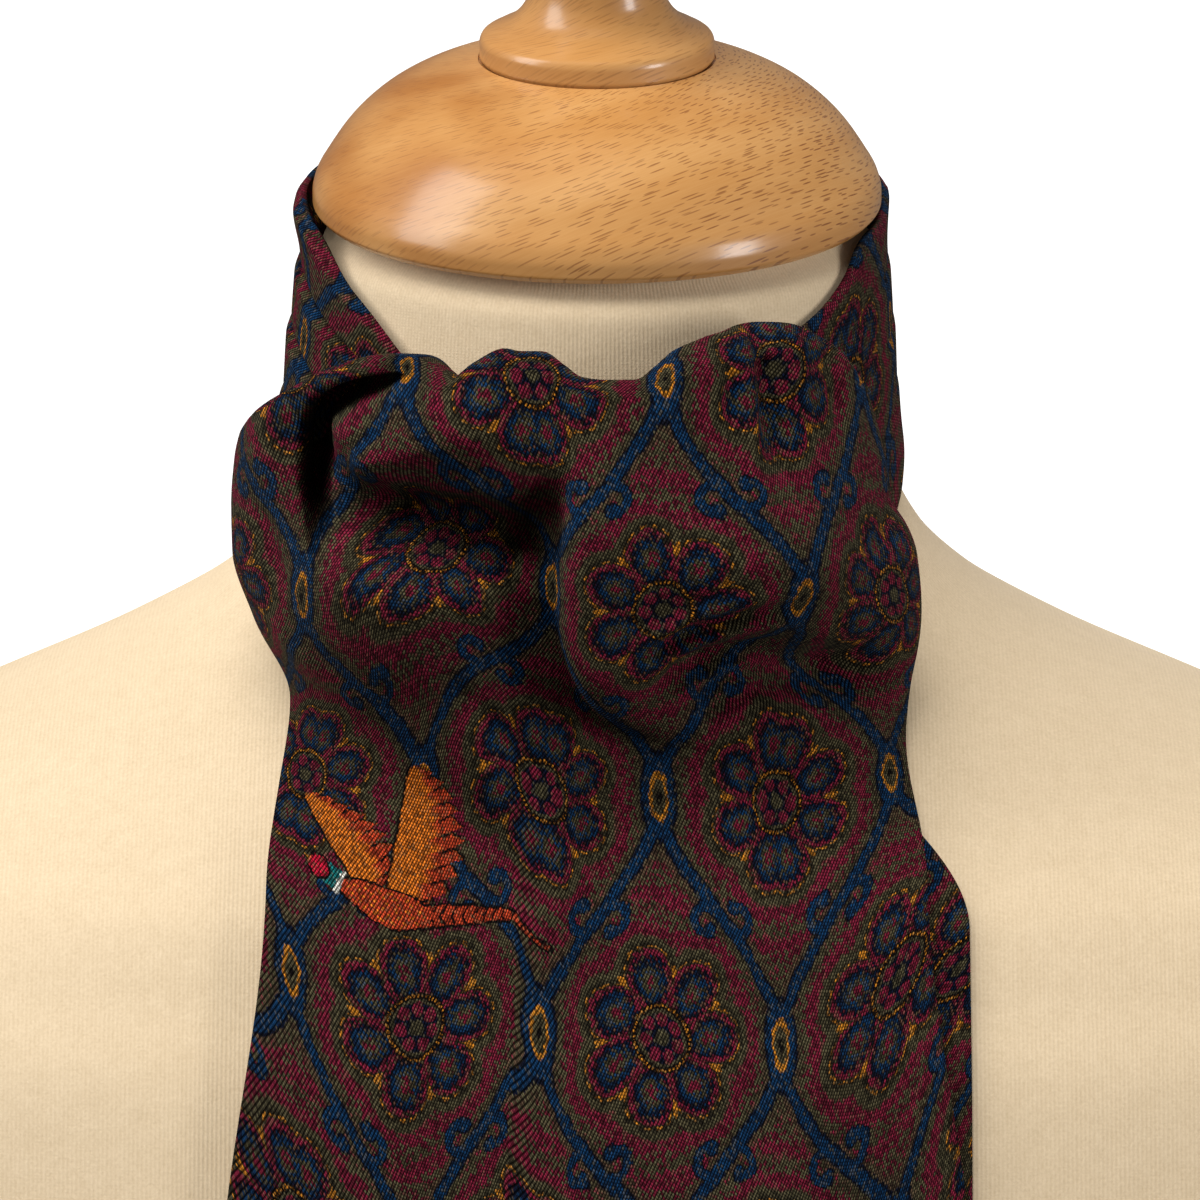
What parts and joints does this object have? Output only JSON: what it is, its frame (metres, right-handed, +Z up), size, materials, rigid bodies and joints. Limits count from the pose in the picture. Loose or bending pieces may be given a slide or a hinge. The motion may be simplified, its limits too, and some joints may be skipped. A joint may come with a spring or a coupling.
{
  "type": "day cravat on a dress form",
  "caption": "Pointed cravat wound round the neck of a limbless dress form with a turned wooden neck cap; the front blade folds over the throat and falls down the chest.",
  "frame": {"origin": "middle of the flat underside that the dress form stands on", "axes": "+Z up along the height, X across the shoulders, +Y to the back, so the blade hangs on the -Y side"},
  "size_m": [0.402, 0.2321, 0.4992],
  "materials": {
    "printed_twill": "matte printed wool twill, burgundy and olive ground with navy",
    "jersey_cover": "matte cream rib jersey",
    "lacquered_beech": "honey-coloured beech under clear lacquer"
  },
  "bodies": {
    "root": {"front_blade": "printed_twill", "under_blade": "printed_twill", "neckband_left": "printed_twill", "neckband_right": "printed_twill", "neckband_back": "printed_twill", "crossing": "printed_twill", "bust_form": "jersey_cover", "neck_cap": "lacquered_beech", "cap_knob": "lacquered_beech"}
  },
  "joints": []
}
